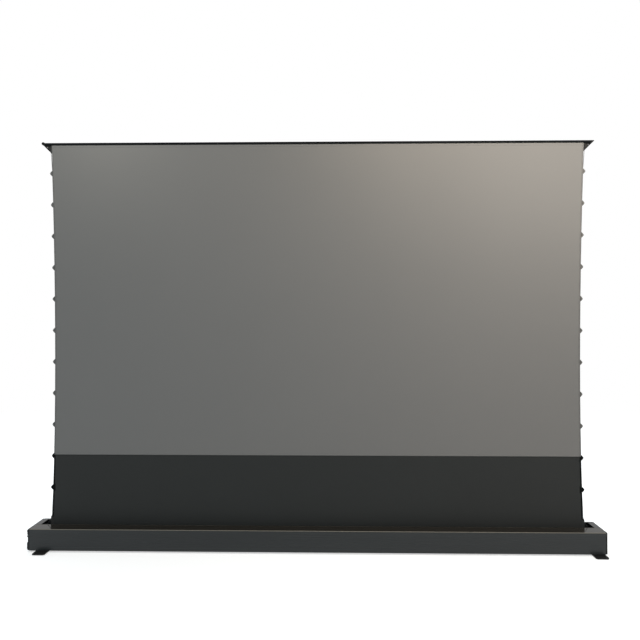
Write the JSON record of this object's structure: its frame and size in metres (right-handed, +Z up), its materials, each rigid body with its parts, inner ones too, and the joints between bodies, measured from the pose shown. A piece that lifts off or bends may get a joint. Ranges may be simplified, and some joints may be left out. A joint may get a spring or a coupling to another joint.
{
  "type": "projection screen",
  "caption": "Floor-standing pull up projection screen: tab-tensioned grey fabric under a top rail, raised by folding spring arms from a long black housing with a motor roller.",
  "frame": {"origin": "on the floor under the middle of the housing, with the four feet standing at Z = 0", "axes": "+X along the screen to the viewer's right, +Y from the viewer through the screen to its back, +Z up"},
  "size_m": [2.4485, 0.214, 1.759],
  "materials": {
    "housing": "dark satin anodised",
    "housing_end": "satin moulded",
    "plastic": "fine moulded texture",
    "foot": "black powder coat",
    "rubber": "matt",
    "zinc": "zinc plated",
    "screen_grey": "light-rejecting matt grey",
    "drop_black": "matt black coated",
    "cord": "braided",
    "rail": "black anodised",
    "arm": "black powder coat",
    "casting": "dark cast",
    "pin_steel": "turned",
    "tube": "extruded"
  },
  "bodies": {
    "root": {"floor_panel": "housing", "front_panel": "housing", "rear_panel": "housing", "top_cover": "housing", "left_end_cap": "housing_end", "right_end_cap": "housing_end", "switch_bezel": "plastic", "mains_inlet": "plastic", "motor_bracket": "zinc", "idler_bracket": "zinc", "tubular_motor": "zinc", "control_box": "plastic", "left_base_bracket": "zinc", "right_base_bracket": "zinc", "left_base_pin": "pin_steel", "right_base_pin": "pin_steel", "front_left_foot_bolt": "zinc", "front_right_foot_bolt": "zinc", "rear_left_foot_bolt": "zinc", "rear_right_foot_bolt": "zinc", "screen_fabric": "screen_grey", "black_drop": "drop_black", "left_tension_cord": "cord", "right_tension_cord": "cord"},
    "foot_front_left": {"front_left_foot": "foot", "front_left_foot_pad": "rubber"},
    "foot_front_right": {"front_right_foot": "foot", "front_right_foot_pad": "rubber"},
    "foot_rear_left": {"rear_left_foot": "foot", "rear_left_foot_pad": "rubber"},
    "foot_rear_right": {"rear_right_foot": "foot", "rear_right_foot_pad": "rubber"},
    "rocker": {"power_rocker": "plastic"},
    "roller": {"roller_tube": "tube", "fabric_wrap": "drop_black", "idler_plug": "plastic", "drive_wheel": "plastic"},
    "left_lower": {"left_lower_arm": "arm", "left_base_knuckle": "casting", "left_lower_knee": "casting", "left_knee_pin": "pin_steel", "left_lift_spring": "pin_steel"},
    "left_upper": {"left_upper_arm": "arm", "left_upper_knee": "casting", "left_top_knuckle": "casting"},
    "right_lower": {"right_lower_arm": "arm", "right_base_knuckle": "casting", "right_lower_knee": "casting", "right_knee_pin": "pin_steel", "right_lift_spring": "pin_steel"},
    "right_upper": {"right_upper_arm": "arm", "right_upper_knee": "casting", "right_top_knuckle": "casting"},
    "lid": {"top_rail": "rail", "left_rail_end": "plastic", "right_rail_end": "plastic", "left_clevis": "arm", "right_clevis": "arm", "left_top_pin": "pin_steel", "right_top_pin": "pin_steel"}
  },
  "joints": [
    {"name": "lift_fold", "type": "hinge", "parent": "root", "child": "left_lower", "pos_m": [-1.05, 0, 0.028], "axis": [0, 1, 0], "range_deg": [0, 63.37], "stiffness_Nm_per_rad": 30, "springref_deg": -51.57, "deforming": ["screen_fabric", "black_drop", "left_tension_cord", "right_tension_cord"]},
    {"name": "left_knee", "type": "hinge", "parent": "left_lower", "child": "left_upper", "pos_m": [-0.64754, 0, 0.8775], "axis": [0, 1, 0], "range_deg": [-126.75, 0]},
    {"name": "left_top_pivot", "type": "hinge", "parent": "left_upper", "child": "lid", "pos_m": [-1.05, 0, 1.727], "axis": [0, 1, 0], "range_deg": [0, 63.38]},
    {"name": "right_fold", "type": "hinge", "parent": "root", "child": "right_lower", "pos_m": [1.05, 0, 0.028], "axis": [0, 1, 0], "range_deg": [-63.38, 0]},
    {"name": "right_knee", "type": "hinge", "parent": "right_lower", "child": "right_upper", "pos_m": [0.64754, 0, 0.8775], "axis": [0, 1, 0], "range_deg": [0, 126.75]},
    {"name": "roller_spin", "type": "hinge", "parent": "root", "child": "roller", "pos_m": [0, -0.0304, 0.05], "axis": [1, 0, 0], "range_deg": [-3345, 0]},
    {"name": "front_left_foot_swing", "type": "hinge", "parent": "root", "child": "foot_front_left", "pos_m": [-1.16, -0.035, 0.004], "axis": [0, 0, 1], "range_deg": [0, 90]},
    {"name": "front_right_foot_swing", "type": "hinge", "parent": "root", "child": "foot_front_right", "pos_m": [1.186, -0.035, 0.004], "axis": [0, 0, 1], "range_deg": [-90, 0]},
    {"name": "rear_left_foot_swing", "type": "hinge", "parent": "root", "child": "foot_rear_left", "pos_m": [-1.16, 0.035, 0.004], "axis": [0, 0, 1], "range_deg": [-90, 0]},
    {"name": "rear_right_foot_swing", "type": "hinge", "parent": "root", "child": "foot_rear_right", "pos_m": [1.186, 0.035, 0.004], "axis": [0, 0, 1], "range_deg": [0, 90]},
    {"name": "rocker_tilt", "type": "hinge", "parent": "root", "child": "rocker", "pos_m": [-1.221, -0.0595, 0.0835], "axis": [0, 1, 0], "range_deg": [0, 18]}
  ],
  "couplings": [
    {"joint": "left_knee", "follows": "lift_fold", "ratio": -2},
    {"joint": "left_top_pivot", "follows": "lift_fold", "ratio": 1},
    {"joint": "right_fold", "follows": "lift_fold", "ratio": -1},
    {"joint": "right_knee", "follows": "lift_fold", "ratio": 2},
    {"joint": "roller_spin", "follows": "lift_fold", "ratio": -52.7}
  ]
}
